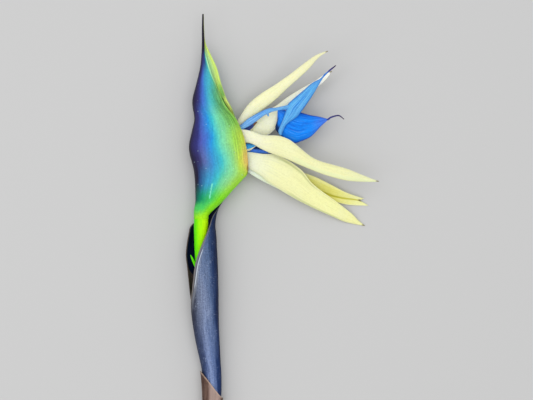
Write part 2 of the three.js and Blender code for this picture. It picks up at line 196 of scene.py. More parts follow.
# A value that runs through a material's nodes, so that sums on it are written as plain sums.
class Flow:
    def __init__(self, made, output=0):
        self.socket = made.outputs[output]
        self.tree = made.id_data

    def __add__(self, other):
        return maths("ADD", self, other)

    def __sub__(self, other):
        return maths("SUBTRACT", self, other)

    def __mul__(self, other):
        return maths("MULTIPLY", self, other)

    def __truediv__(self, other):
        return maths("DIVIDE", self, other)

    def __abs__(self):
        return maths("ABSOLUTE", self)


def addNode(tree, kind, values, **settings):
    made = tree.nodes.new("ShaderNode" + kind)
    for key, setting in settings.items():
        setattr(made, key, setting)
    for key, value in values.items():
        if isinstance(value, Flow):
            tree.links.new(value.socket, made.inputs[key])
        else:
            made.inputs[key].default_value = value
    return made


def maths(operation, a, b=0.0, clamp=False):
    return Flow(addNode(a.tree, "Math", {0: a, 1: b}, operation=operation, use_clamp=clamp))


def spread(value, low, high, toLow=0.0, toHigh=1.0, smooth=True):
    values = {"Value": value, "From Min": low, "From Max": high, "To Min": toLow, "To Max": toHigh}
    kind = "SMOOTHSTEP" if smooth else "LINEAR"
    return Flow(addNode(value.tree, "MapRange", values, interpolation_type=kind), "Result")


# 1 between low and high, easing off on both sides
def window(value, low, high, ease):
    return spread(value, low - ease, low) * spread(value, high, high + ease, 1, 0)


# a pattern turned into a shift of up to reach either way
def jitter(pattern, reach):
    return spread(pattern, 0.3, 0.7, -reach, reach, False)


def blend(share, a, b, kind="MIX"):
    return Flow(addNode(a.tree, "Mix", {0: share, 6: a, 7: b}, data_type="RGBA", blend_type=kind), 2)


def ramp(value, stops):
    made = addNode(value.tree, "ValToRGB", {0: value})
    elements = made.color_ramp.elements
    while len(elements) < len(stops):
        elements.new(1.0)
    for element, (place, tone) in zip(elements, stops):
        element.position = place
        element.color = paint(tone)
    return Flow(made)


def painted(colour, tone, share, strength=1.0):
    return blend(share * strength, colour, paint(tone))


# darker where a pattern is low
def shaded(colour, strength, pattern, low, dark, high):
    return blend(strength, colour, ramp(pattern, [(low, dark), (high, (255, 255, 255))]), "MULTIPLY")


def combined(x, y, z=0.0):
    return Flow(addNode(x.tree, "CombineXYZ", {0: x, 1: y, 2: z}))


def grain(place, scale, detail=3.0, rough=0.55):
    values = {"Vector": place, "Scale": scale, "Detail": detail, "Roughness": rough}
    return Flow(addNode(place.tree, "TexNoise", values))


# a pattern drawn out into strands
def fibres(across, acrossScale, down, downScale, seed=0.0, detail=4.0, rough=0.55):
    return grain(combined(across * acrossScale, down * downScale, seed), 1.0, detail, rough)


def parts(place):
    made = addNode(place.tree, "SeparateXYZ", {0: place})
    return [Flow(made, axis) for axis in range(3)]


# a place on the piece, in metres
def objectPlace(skin):
    return Flow(addNode(skin.node_tree, "TexCoord", {}), "Object")


# u and v on the piece's own chart
def skinPlace(skin):
    return parts(Flow(addNode(skin.node_tree, "UVMap", {}, uv_map="skin")))[:2]


# Joins a colour, a relief of some millimetres and, where it has a pattern, the roughness.
def endFinish(skin, colour, height, depth, pattern=None, smoothest=0.4, roughest=0.6):
    tree = skin.node_tree
    inputs = tree.nodes["Principled BSDF"].inputs
    tree.links.new(colour.socket, inputs["Base Color"])
    if pattern:
        tree.links.new(spread(pattern, 0.3, 0.7, smoothest, roughest).socket, inputs["Roughness"])
    bump = addNode(tree, "Bump", {"Height": height, "Distance": depth * mm})
    tree.links.new(bump.outputs[0], inputs["Normal"])
    return skin


# small dots on a cell pattern, some cells left empty
def dots(place, cell, size, share):
    made = addNode(place.tree, "TexVoronoi", {"Vector": place, "Scale": 1 / (cell * mm)})
    disc = spread(Flow(made, "Distance"), size * 0.6, size, 1, 0)
    pick = Flow(addNode(place.tree, "SeparateColor", {0: Flow(made, "Color")}))
    return disc * spread(pick, 1 - share, 1.02 - share)


pigments = {
    "ink": (30, 24, 46),
    "aubergine": (50, 46, 98),
    "indigo": (54, 56, 126),
    "denim": (44, 82, 136),
    "slate": (92, 108, 172),
    "violet": (80, 90, 176),
    "royal": (72, 116, 206),
    "azure": (40, 154, 226),
    "lake": (60, 148, 210),
    "lagoon": (62, 158, 204),
    "pool": (74, 184, 206),
    "cyan": (64, 196, 206),
    "teal": (80, 194, 186),
    "fern": (98, 186, 130),
    "seafoam": (92, 210, 172),
    "mint": (116, 222, 184),
    "meadow": (126, 208, 126),
    "moss": (140, 206, 84),
    "spring": (152, 226, 138),
    "lime": (172, 232, 90),
    "yellowLime": (204, 232, 80),
    "amber": (244, 210, 112),
    "petrol": (6, 62, 70),
    "jade": (8, 152, 104),
    "leaf": (76, 208, 96),
    "grass": (134, 232, 30),
    "sap": (172, 244, 24),
}

spathe = {
    "middle": 13.3,  # height of its middle plane
    "wall": 1.2,
    "thinnest": 0.25,  # share of the wall that is left at the margins and the beak
    "columns": 76,
    "rows": 118,
    "ribs": 22,  # shallow lengthwise ribs from margin to margin
    "ribHeight": 0.07,
    "unevenness": 0.35,
    "lip": 0.55,  # how far the margins turn outwards along the slit
    "upperLip": 0.8,  # how much further the front one turns near the top of the slit
    "flatMargin": 0.8,  # how flat the far margin lies in the beak, where its lining shows
    # y, keel x, front edge x, back edge x, half depth, front and back edge from the middle plane
    "outline": [
        [170.5, -64.4, -63.1, -63.1, 0.75, 0.3, 0.3],
        [159, -64.7, -62.9, -62.8, 1, 0.4, 0.3],
        [148, -64.7, -62.3, -61.9, 1.7, 0.7, 0],
        [138.5, -65, -61.4, -57.8, 3, 1.6, -1.2],
        [127, -66.2, -58.2, -52.5, 5, 2.8, -2.2],
        [114.5, -69.2, -53.8, -49.1, 7.4, 4, -3.3],
        [102.5, -72.2, -49, -45, 9.5, 5.2, -3.4],
        [95, -72, -44.6, -40.8, 10.7, 6.4, -0.6],
        [86, -70.8, -37, -37.5, 11.7, 8, 4.8],
        [73, -73.6, -31.4, -32.5, 12.6, 8.6, 7.8],
        [65.5, -75, -29.6, -31, 12.9, 8.6, 8],
        [58.5, -74.5, -28.4, -29.5, 12.8, 8.2, 7.8],
        [47, -71.5, -27.5, -28.5, 12.3, 5.2, 5.2],
        [42, -70.8, -28.4, -28.4, 11.9, 2.2, 2.2],
        [37.5, -70.3, -32.3, -32.3, 11.4, 0.15, 0.15],
        [29.5, -70, -39.7, -39.7, 10, 0.1, 0.1],
        [20, -69.9, -48.2, -48.2, 8, 0.1, 0.1],
        [13.5, -71, -55.3, -55.3, 6.5, 0.1, 0.1],
        [9.5, -71.1, -58.9, -58.9, 6, 0.1, 0.1],
        [6.5, -71.1, -59.2, -59.2, 5.95, 0.1, 0.1],
    ],
    # how the colours run from the keel, 0, to the margin, 1, at each height; the ink at the keel is
    # partly the spathe's own colour and partly painted shade where its sides turn away
    "bands": [
        (7, [(0, "grass"), (0.4, "sap"), (1, "sap")]),
        (15.5, [(0, "leaf"), (0.4, "leaf"), (0.7, "grass"), (1, "grass")]),
        (22, [(0, "petrol"), (0.2, "jade"), (0.55, "leaf"), (0.8, "grass"), (1, "grass")]),
        (37, [(0, "ink"), (0.06, "ink"), (0.13, "denim"), (0.24, "lagoon"), (0.33, "lagoon"),
              (0.43, "cyan"), (0.52, "seafoam"), (0.72, "spring"), (0.86, "lime"), (1, "sap")]),
        (54, [(0, "ink"), (0.14, "aubergine"), (0.225, "slate"), (0.38, "lake"), (0.56, "cyan"),
              (0.65, "mint"), (0.75, "spring"), (0.85, "yellowLime"), (0.95, "amber")]),
        (70, [(0, "ink"), (0.06, "aubergine"), (0.13, "indigo"), (0.2, "violet"), (0.29, "royal"),
              (0.4, "azure"), (0.5, "cyan"), (0.59, "mint"), (0.7, "spring"), (0.8, "lime"),
              (0.95, "yellowLime")]),
        (86, [(0, "ink"), (0.04, "aubergine"), (0.1, "indigo"), (0.21, "royal"), (0.32, "azure"),
              (0.41, "cyan"), (0.54, "mint"), (0.72, "meadow"), (0.92, "moss")]),
        (102, [(0, "ink"), (0.17, "aubergine"), (0.25, "indigo"), (0.35, "royal"), (0.46, "lake"),
               (0.56, "pool"), (0.68, "teal"), (0.83, "fern"), (0.94, "meadow"), (1, "lime")]),
        (119, [(0, "ink"), (0.08, "aubergine"), (0.2, "indigo"), (0.33, "royal"), (0.45, "lagoon"),
               (0.66, "pool"), (0.88, "teal"), (0.96, "fern"), (1, "mint")]),
        (135, [(0, "ink"), (0.2, "aubergine"), (0.35, "indigo"), (0.5, "indigo"), (0.62, "denim"),
               (0.78, "teal"), (0.9, "mint")]),
        (143, [(0, "ink"), (1, "ink")]),
    ],
    "slit": [46, 112],  # from the chin to the top of the slit
    "scratch": [(-56.3, 34.1), (-58.4, 23.4)],
    "drySpot": [-27.2, 46.8, 2.2, 3.6],  # x, y and its half width and height
    # the mint stops paint a highlight on the front margin near the top of the slit
    "rimColours": [  # from y 30 to y 150
        (0, (112, 226, 40)), (0.09, (126, 214, 40)), (0.115, (120, 84, 56)), (0.14, (170, 92, 60)),
        (0.2, (240, 186, 106)), (0.32, (232, 200, 92)), (0.42, (190, 216, 84)),
        (0.56, (160, 232, 110)), (0.68, (164, 246, 190)), (0.86, (196, 252, 196)),
        (0.95, (190, 214, 120)), (1, (130, 134, 76)),
    ],
    # the lining at the chin, at the top of the slit and in the beak, from the keel to the margin; the
    # dark step at the chin is painted shade in a crease, and the mint in the beak a painted highlight by
    # the front margin
    "lining": [
        [(0, (84, 128, 62)), (0.5, (150, 230, 110)), (0.74, (190, 255, 150)), (0.78, (110, 180, 100)),
         (0.83, (130, 200, 106)), (0.87, (236, 252, 130)), (1, (226, 236, 130))],
        [(0, (84, 128, 62)), (0.5, (170, 236, 120)), (0.8, (200, 252, 130)), (0.88, (150, 214, 112)),
         (0.94, (124, 178, 90)), (1, (140, 166, 96))],
        [(0, (84, 128, 62)), (0.4, (150, 204, 84)), (0.6, (206, 255, 196)), (0.8, (224, 250, 136)),
         (1, (212, 234, 110))],
    ],
}


def spathePlace(u, v):
    rows = spathe["outline"]
    y, keel, frontEdge, backEdge, halfDepth, frontGap, backGap = along(rows, v)
    front = u <= 0.5
    s = 2 * u if front else 2 * (1 - u)  # 0 at the margin, 1 at the keel
    edge, gap = (frontEdge, frontGap) if front else (backEdge, backGap)
    belly = (halfDepth - 0.125 * gap) / 0.7125  # the curve then passes through the half depth
    r = 1 - s
    flat = 0 if front else spathe["flatMargin"] * eased(y, 84, 98) * (1 - eased(y, 146, 156))
    x = edge * (r**3 + 3 * r * r * s) + keel * (3 * r * s * s + s**3)
    depth = gap * r**3 + mixed(belly, gap, flat) * 3 * r * r * s + 0.9 * belly * 3 * r * s * s
    body = eased(y, 6, 30) * (1 - eased(y, 112, 140))
    swell = spathe["ribHeight"] * math.cos(2 * math.pi * spathe["ribs"] * u) * body
    swell += spathe["unevenness"] * wander(u, v, 5, 9, 3.1) * body * eased(s, 0, 0.2)
    low, high = spathe["slit"]
    opening = eased(y, low - 6, low + 6) * (1 - eased(y, high - 12, high + 10))
    turned = spathe["lip"] + (spathe["upperLip"] * hill(y, 101, 11) if front else 0)
    lip = turned * opening * hill(s, 0, 0.07)
    z = depth + swell + lip
    return Vector((x + lip * 0.4, y, spathe["middle"] + (z if front else -z)))


def spatheWall(u, v):
    toMargin = eased(min(u, 1 - u), 0, 0.05)
    toBeak = eased(v, 0.02, 0.2)
    return mixed(0.3, 1, toMargin) * mixed(0.3, 1, toBeak) * mixed(1, 0.35, eased(v, 0.93, 1))


def bandedColour(across, height, bands):
    colour = None
    before = 0
    for place, stops in bands:
        here = ramp(across, [(share, pigments[name]) for share, name in stops])
        if colour:
            here = blend(spread(height, before * mm, place * mm), colour, here)
        colour = here
        before = place
    return colour


def rainbowSkin():
    skin = startFinish("rainbowSkin", 0.42, 0.12)
    place = objectPlace(skin)
    x, y, z = parts(place)
    u = skinPlace(skin)[0]
    fromKeel = abs(u * 2 - 1)
    across = spread(fromKeel, 0, 1)
    strands = fibres(u, 95, y, 60)
    broad = fibres(u, 16, y, 22, 4, 2)
    mottle = grain(place, 620, 3, 0.65)
    # the bands, whose dark keel is partly painted shade
    colour = bandedColour(across + jitter(broad, 0.025), y + jitter(strands, 0.0018), spathe["bands"])

    # darker streaks beside the slit, where the margins are drawn together, and fainter ones below
    nearSlit = window(y, 0.086, 0.106, 0.012) * spread(across, 0.5, 0.9)
    lowerDown = window(y, 0.06, 0.086, 0.02) * spread(across, 0.55, 0.8, 0, 0.5)
    fine = fibres(u, 150, y, 40, 9, 2)
    streak = spread(fine, 0.48, 0.6) * maths("MAXIMUM", nearSlit, lowerDown)
    colour = painted(colour, (52, 116, 44), streak, 0.45)

    # lengthwise fibres, a fine mottle and small pale dots
    colour = shaded(colour, 0.3, strands, 0.25, (176, 176, 186), 0.6)
    colour = shaded(colour, 0.35, mottle, 0.3, (160, 160, 172), 0.65)
    speck = dots(place, 3.2, 0.16, 0.35) * window(y, 0.03, 0.1, 0.02)
    colour = painted(colour, (190, 225, 235), speck, 0.35)

    # the rim, which is yellow-green on the back margin where the slit is high, and mint along the front
    # margin near the top, a painted highlight that is made wider there
    rim = ramp(spread(y, 0.03, 0.15, 0, 1, False), spathe["rimColours"])
    highBack = maths("MINIMUM", spread(u, 0.49, 0.51), spread(y, 0.085, 0.1))
    rim = painted(rim, (198, 222, 100), highBack)
    # widens the painted highlight on the front margin near the top
    wide = spread(y, 0.108, 0.13, 0, 0.18)
    edge = spread(fromKeel + jitter(strands, 0.012) + wide, 0.9, 0.975)
    colour = blend(edge * 0.85, colour, rim)

    # a dry brown spot on the chin
    spotX, spotY, halfWidth, halfHeight = [size * mm for size in spathe["drySpot"]]
    offX = (x - spotX) / halfWidth
    offY = (y - spotY) / halfHeight
    dry = spread(offX * offX + offY * offY, 0.1, 1, 0.85, 0) * spread(strands, 0.3, 0.6, 0.6, 1)
    colour = painted(colour, (136, 82, 58), dry)

    # one healed scratch on the front
    (topX, topY), (footX, footY) = spathe["scratch"]
    slope = (topX - footX) / (topY - footY)
    line = y * slope + (footX - slope * footY) * mm
    off = abs(x + jitter(grain(place, 500, 2), 0.00025) - line)
    mark = spread(off, 0.0004, 0.00085, 1, 0) * window(y, footY * mm, topY * mm, 0.0012)
    mark = mark * spread(z, 0.013, 0.015) * spread(mottle, 0.3, 0.5, 0.45, 1)
    colour = painted(colour, (128, 230, 196), mark, 0.75)
    height = strands * 0.7 + mottle * 0.35 + mark * 0.4 - streak * 0.6
    return endFinish(skin, colour, height, 0.35, mottle, 0.34, 0.52)


def limeLining():
    skin = startFinish("limeLining", 0.5, 0.2)
    y = parts(objectPlace(skin))[1]
    u = skinPlace(skin)[0]
    strands = fibres(u, 95, y, 50)
    # these ramps hold painted shade in a crease at the chin and a painted highlight in the beak
    atChin, atTop, inBeak = [ramp(abs(u * 2 - 1), stops) for stops in spathe["lining"]]
    colour = blend(spread(y, 0.101, 0.106), atChin, atTop)
    colour = blend(spread(y, 0.11, 0.118), colour, inBeak)
    colour = shaded(colour, 0.35, strands, 0.3, (170, 190, 130), 0.55)
    return endFinish(skin, colour, strands, 0.3, strands)


finishPiece(
    makeSheet(spathe["columns"], spathe["rows"], spathePlace, spatheWall),
    "spathe", [rainbowSkin(), limeLining()], spathe["wall"], -1, spathe["thinnest"],
)
print("spathe made")


stalk = {
    "sides": 36,
    "steps": 150,
    "ribs": 14,
    "ribHeight": 0.007,  # this and the next are shares of the radius
    "unevenness": 0.012,
    "path": [  # x, y, z and radius
        (-57, -170.5, 8.2, 6.4),
        (-57, -165, 8.2, 6.5),
        (-57, -150, 8.2, 6.5),
        (-57, -140, 8.2, 5.5),
        (-57, -128, 8.3, 5),
        (-57, -117, 8.4, 5),
        (-58.5, -106.5, 8.9, 5),
        (-60.5, -90.5, 10, 5.05),
        (-62.5, -68, 11, 5.05),
        (-64, -42.5, 11.8, 5.1),
        (-65.1, -18, 12.4, 5.5),
        (-65.2, -2, 13.1, 5.8),
        (-65.2, 7, 13.3, 5.75),
        (-65.4, 10.5, 13.3, 5.2),
        (-65, 17.5, 13.3, 3.5),
        (-64.5, 25, 13.3, 3.3),
    ],
    "sliver": [  # the strip that is torn loose at the left
        [-67.4, -35.5, 14.2, 1.5, 1.2],
        [-69.3, -31.5, 14.9, 1.4, 0.8],
        [-71, -28, 15.5, 1.1, 0.6],
        [-72.5, -24.8, 16, 0.75, 0.45],
        [-73.7, -22.3, 16.4, 0.22, 0.2],
    ],
    "cutSteps": [(1.6, 0.12), (2.2, 0.1)],  # rings on the cut face: how wide and how deep
    "cutReach": 0.4,  # faces this near the cut end belong to it
    "colours": [  # from y -170 to y 10
        (0, (150, 168, 84)), (0.12, (160, 190, 90)), (0.6, (140, 214, 40)), (0.8, (146, 238, 6)),
        (0.93, (172, 246, 6)), (1, (160, 240, 30)),
    ],
    "cutColours": [  # from the middle of the cut face to its rim
        (0, (226, 224, 176)), (0.6, (214, 214, 150)), (0.82, (176, 188, 104)), (0.92, (138, 140, 76)),
        (1, (104, 84, 52)),
    ],
}


def ribbed(angle, v):
    rib = stalk["ribHeight"] * math.cos(stalk["ribs"] * angle)
    return 1 + rib + stalk["unevenness"] * wander(math.cos(angle), v, 1.5, 14, 7.7)


def limeSkin():
    skin = startFinish("limeSkin", 0.4, 0.08)
    place = objectPlace(skin)
    x, y = parts(place)[:2]
    strands = fibres(skinPlace(skin)[0], 42, y, 70)
    mottle = grain(place, 420, 3, 0.6)
    colour = ramp(spread(y, -0.17, 0.01, 0, 1, False), stalk["colours"])
    colour = painted(colour, (92, 232, 2), spread(x, -0.0702, -0.0658, 0.9, 0))
    # a painted highlight down its right side
    rightHighlight = spread(x, -0.0655, -0.0622, 0, 0.8) * spread(y, -0.03, 0)
    colour = painted(colour, (200, 252, 10), rightHighlight)
    colour = shaded(colour, 0.35, strands, 0.3, (150, 205, 120), 0.6)
    colour = shaded(colour, 0.2, mottle, 0.3, (170, 200, 120), 0.6)
    return endFinish(skin, colour, strands + mottle * 0.3, 0.25, mottle, 0.33, 0.48)


# The cut face: a pale pith with the ends of its strands in it, browned round the rim.
def cutFace():
    skin = startFinish("cutFace", 0.6, 0.25)
    x, z = parts(objectPlace(skin))[::2]
    offX = x - stalk["path"][0][0] * mm
    offZ = z - stalk["path"][0][2] * mm
    fromMiddle = maths("SQRT", offX * offX + offZ * offZ)
    flat = combined(x, 0.0, z)
    cells = addNode(flat.tree, "TexVoronoi", {"Vector": flat, "Scale": 800.0})
    pith = grain(flat, 900, 3, 0.7)
    colour = ramp(spread(fromMiddle, 0, 0.0066, 0, 1, False), stalk["cutColours"])
    strand = spread(Flow(cells, "Distance"), 0.16, 0.3, 1, 0)
    colour = painted(colour, (150, 128, 74), strand, 0.65)
    colour = shaded(colour, 0.4, pith, 0.3, (180, 170, 140), 0.6)
    return endFinish(skin, colour, pith - strand * 0.5, 0.5)


def makeStalk():
    rows = [[x, y, z, radius, radius] for x, y, z, radius in stalk["path"]]
    bm = makeTube(rows, stalk["sides"], stalk["steps"], ribbed)
    caps = [face for face in bm.faces if len(face.verts) > 4]
    cut = min(caps, key=lambda cap: cap.calc_center_median().y)
    for wide, deep in stalk["cutSteps"]:
        bmesh.ops.inset_individual(bm, faces=[cut], thickness=wide * mm, depth=-deep * mm)
    for face in bm.faces:
        if face.calc_center_median().y < (rows[0][1] + stalk["cutReach"]) * mm:
            face.material_index = 1
    joinMeshes(bm, makeTube(stalk["sliver"], sides=12, steps=16, rim=0.05))
    finishPiece(bm, "flower_stalk", [limeSkin(), cutFace()])


makeStalk()
print("stalk made")


upperSheath = {
    "wall": 0.85,
    "thinnest": 0.25,
    "columns": 84,
    "rows": 120,
    "ribs": 34,
    "ribHeight": 0.06,
    "rimTurn": 0.5,  # how far the front margin turns up
    "ridge": 0.42,  # the raised line that follows the front margin
    "ridgeFromRim": 2.2,
    "backTurn": 0.35,  # how far the back margin turns up
    "lapRise": 0.45,  # where the margins lap, the front one is lifted and the back one sunk
    "lapSink": 0.75,
    "unevenness": 0.4,
    "floor": 0.05,  # it lies flat where it meets the floor
    # y, centre x, centre z, radius in x and z, front and back edge in degrees from +X towards +Z
    "outline": [
        [28, -53, 6, 6, 4.6, -40, -62],
        [23, -54, 6.5, 7, 5.2, -15, -97],
        [17, -58, 7.6, 8, 7, 12, -98],
        [9.5, -61, 9.2, 8.1, 8.6, 48, -112],
        [1.5, -64.5, 10.2, 10.4, 9.8, 56, -144],
        [-4.5, -64.4, 10.7, 10.9, 10.4, 70, -170],
        [-12, -64.6, 11, 11.7, 10.8, 86, -179.5],
        [-22.5, -64.8, 11.2, 12.5, 11, 104, -181],
        [-32, -64.1, 11.2, 12.3, 11, 120, -182],
        [-42.5, -63.3, 11.1, 11.9, 10.9, 133, -183],
        [-52, -62.7, 10.9, 11.5, 10.7, 147, -184],
        [-61, -62.4, 10.7, 11.1, 10.6, 164, -185],
        [-75, -61.5, 10.3, 10.5, 10.2, 183, -186],
        [-90.5, -59.9, 9.6, 9.5, 9.5, 190, -186],
        [-106.5, -57.8, 8.5, 8, 8.1, 194, -186],
        [-115, -56.8, 8.4, 7.5, 7.3, 196, -186],
        [-125, -56.2, 8.3, 7.1, 6.9, 196, -186],
        [-134, -56.2, 8.3, 7, 6.7, 196, -186],
        [-142.8, -56.6, 8.3, 6.7, 6.6, 196, -186],
    ],
    # once round, from its right side over its top, above and below; darker down both sides, which is
    # painted shade, and pale over the top, a painted highlight
    "colours": [
        [(0, (12, 24, 58)), (0.06, (18, 36, 78)), (0.12, (46, 68, 114)), (0.19, (104, 126, 166)),
         (0.26, (140, 154, 186)), (0.32, (120, 130, 154)), (0.37, (84, 90, 108)), (0.42, (52, 53, 68)),
         (0.5, (56, 59, 72)), (0.75, (92, 100, 128)), (0.9, (62, 76, 112)), (1, (12, 24, 58))],
        [(0, (10, 26, 70)), (0.06, (16, 42, 92)), (0.12, (42, 68, 122)), (0.17, (104, 126, 174)),
         (0.21, (108, 130, 178)), (0.26, (146, 166, 212)), (0.32, (94, 112, 158)), (0.38, (62, 80, 122)),
         (0.46, (50, 64, 100)), (0.75, (86, 102, 144)), (0.9, (56, 76, 124)), (1, (10, 26, 70))],
    ],
}


def sheathPlace(u, v):
    y, x, z, radiusX, radiusZ, front, back = along(upperSheath["outline"], v)
    angle = math.radians(mixed(back, front, u))
    radius = (radiusX + radiusZ) / 2
    fromFront = (1 - u) * math.radians(front - back) * radius  # along the skin, in millimetres
    fromBack = u * math.radians(front - back) * radius
    apart = eased(y, -70, -45)  # 1 where its margins stand apart, 0 where they lap
    lapped = 1 - eased(y, -66, -50)
    ridge = hill(fromFront, upperSheath["ridgeFromRim"], 0.75) * (1 - eased(y, -8, 4))
    lift = (upperSheath["rimTurn"] * hill(fromFront, 0, 0.9) + upperSheath["ridge"] * ridge) * apart
    rise = upperSheath["lapRise"] * (1 - eased(fromFront, 1.5, 5))
    sink = upperSheath["lapSink"] * (1 - eased(fromBack, 1, 5))
    lift += lapped * (rise - sink)
    lift += upperSheath["backTurn"] * hill(fromBack, 0, 0.8) * apart
    lift += upperSheath["ribHeight"] * math.cos(upperSheath["ribs"] * angle)
    lift += upperSheath["unevenness"] * wander(math.cos(angle) + u, v, 1.2, 8, 12.3)
    height = z + (radiusZ + lift) * math.sin(angle)
    return Vector((x + (radiusX + lift) * math.cos(angle), y, max(height, upperSheath["floor"])))


def sheathWall(u, v):
    return mixed(0.3, 1, eased(min(u, 1 - u), 0, 0.045)) * mixed(0.4, 1, eased(v, 0, 0.1))


def sheathChart(u, v):
    front, back = along(upperSheath["outline"], v)[5:]
    return mixed(back, front, u) / 360, u


def bluegreySkin():
    skin = startFinish("bluegreySkin", 0.5, 0.1)
    place = objectPlace(skin)
    y = parts(place)[1]
    turn, share = skinPlace(skin)
    strands = fibres(turn, 70, y, 45, 0, 5, 0.6)
    speckle = grain(place, 950, 3, 0.75)
    bloom = grain(place, 210, 3, 0.6)
    turned = maths("FRACT", turn + jitter(fibres(turn, 9, y, 26, 2, 3), 0.035))
    # ramps round the sheath that paint shade down its sides and a highlight over its top
    upper, lower = [ramp(turned, stops) for stops in upperSheath["colours"]]
    colour = blend(spread(y, -0.12, -0.05, 1, 0), upper, lower)
    colour = blend(spread(y, -0.055, -0.01), colour, paint((212, 224, 232)), "MULTIPLY")
    colour = shaded(colour, 0.55, strands, 0.3, (132, 138, 156), 0.62)
    colour = shaded(colour, 0.6, speckle, 0.34, (150, 152, 160), 0.62)

    # a waxy bloom and pale flecks, mostly on the side that faces up
    upFace = window(turned, 0.16, 0.4, 0.12)
    waxy = spread(bloom, 0.5, 0.72) * spread(speckle, 0.5, 0.68) * spread(upFace, 0, 1, 0.16, 0.5)
    colour = painted(colour, (176, 186, 208), waxy)
    fleck = dots(place, 2.2, 0.14, 0.3) * spread(upFace, 0, 1, 0.1, 0.24)
    colour = painted(colour, (182, 196, 220), fleck)

    # a painted highlight on the shoulder inside the ridge, a pale painted highlight along the raised
    # ridge beside the V, painted shade in the groove beside the margin, and dry grey-brown margins
    shoulderHighlight = window(share, 0.945, 0.96, 0.02) * window(y, -0.055, -0.035, 0.018)
    colour = painted(colour, (150, 154, 162), shoulderHighlight, 0.4)
    ridge = window(share, 0.96, 0.963, 0.006) * window(y, -0.046, -0.02, 0.004)
    colour = painted(colour, (214, 222, 230), ridge, 0.7)
    margins = maths("ADD", spread(share, 0.965, 0.985), spread(share, 0.02, 0.035, 1, 0), True)
    colour = painted(colour, (120, 115, 112), margins * spread(y, -0.075, -0.055), 0.85)
    grooveShade = window(share, 0.975, 0.978, 0.005) * window(y, -0.047, -0.02, 0.006)
    colour = painted(colour, (62, 62, 70), grooveShade, 0.7)
    return endFinish(skin, colour, strands + speckle * 0.5, 0.4, speckle, 0.38, 0.6)


def nightLining():
    skin = startFinish("nightLining", 0.6, 0.12)
    y = parts(objectPlace(skin))[1]
    turn, share = skinPlace(skin)
    strands = fibres(turn, 70, y, 45)
    # near black: painted shade of the sheath's hollow
    colour = ramp(strands, [(0.3, (8, 14, 38)), (0.55, (14, 26, 62)), (0.75, (28, 42, 80))])
    rim = maths("ADD", spread(share, 0.965, 0.99), spread(share, 0.012, 0.03, 1, 0), True)
    colour = painted(colour, (76, 74, 76), rim, 0.8)

    # the back margin is dry further in where the V comes to its point
    reach = spread(y, -0.041, -0.031, 0.2, 0.02)
    dryPoint = spread(share / reach, 0.75, 1, 1, 0) * spread(y, -0.075, -0.06)
    colour = painted(colour, (98, 78, 78), dryPoint, 0.9)
    return endFinish(skin, colour, strands, 0.4)


finishPiece(
    makeSheet(upperSheath["columns"], upperSheath["rows"], sheathPlace, sheathWall, sheathChart),
    "upper_sheath", [bluegreySkin(), nightLining()],
    upperSheath["wall"], -1, upperSheath["thinnest"], 1,
)
print("upper sheath made")


lowerSheath = {
    "wall": 0.85,
    "thinnest": 0.25,
    "columns": 92,
    "rows": 36,
    "x": -56.5,
    "z": 8.35,
    "radius": 8.1,
    "inset": 0.15,  # how far its ribs and wrinkles stand inside that radius
    "flare": 1.6,  # how far the mouth opens at the left
    "rimTurn": 0.28,  # how far its rim turns out
    "floor": 0.05,  # it lies flat where it meets the floor
    "foot": -169.5,
    "lipRight": -136.8,
    "lipLeft": -115.2,
    "lap": 14,  # degrees by which its margins lap over each other at the right
    "lapRise": 0.5,  # one margin is lifted there and the other sunk
    "lapSink": 0.55,
    "wrinkles": 13,
    "wrinkleHeight": 0.14,
    "unevenness": 0.3,
    "raggedness": 0.5,
}


def lowerPlace(u, v):
    lap = lowerSheath["lap"]
    angle = math.radians(mixed(-lap / 2, 360 + lap / 2, u))
    turnShare = (1 - math.cos(angle)) / 2
    lip = mixed(lowerSheath["lipRight"], lowerSheath["lipLeft"], turnShare**1.1)
    lip += lowerSheath["raggedness"] * wander(math.cos(angle) * 3, math.sin(angle) * 3, 3, 3, 5.5)
    y = mixed(lip, lowerSheath["foot"], v)
    fromLip = lip - y
    lift = lowerSheath["rimTurn"] * hill(fromLip, 0, 1)
    lift += lowerSheath["flare"] * turnShare**3 * math.exp(-fromLip / 9)
    wrinkle = math.cos(lowerSheath["wrinkles"] * angle + 2.2 * wander(u, v, 2, 2, 1.4))
    lift += lowerSheath["wrinkleHeight"] * wrinkle
    lift += lowerSheath["unevenness"] * wander(math.cos(angle) * 2 + u, v, 2, 3, 8.8)
    sink = lowerSheath["lapSink"] * (1 - eased(u, 0, 0.06))
    lift += lowerSheath["lapRise"] * eased(u, 0.94, 1) - sink
    radius = lowerSheath["radius"] + lift - lowerSheath["inset"]
    height = max(lowerSheath["z"] + radius * math.sin(angle), lowerSheath["floor"])
    return Vector((lowerSheath["x"] + radius * math.cos(angle), y, height))


def lowerWall(u, v):
    return mixed(0.25, 1, eased(v, 0, 0.07)) * mixed(0.35, 1, eased(min(u, 1 - u), 0, 0.03))


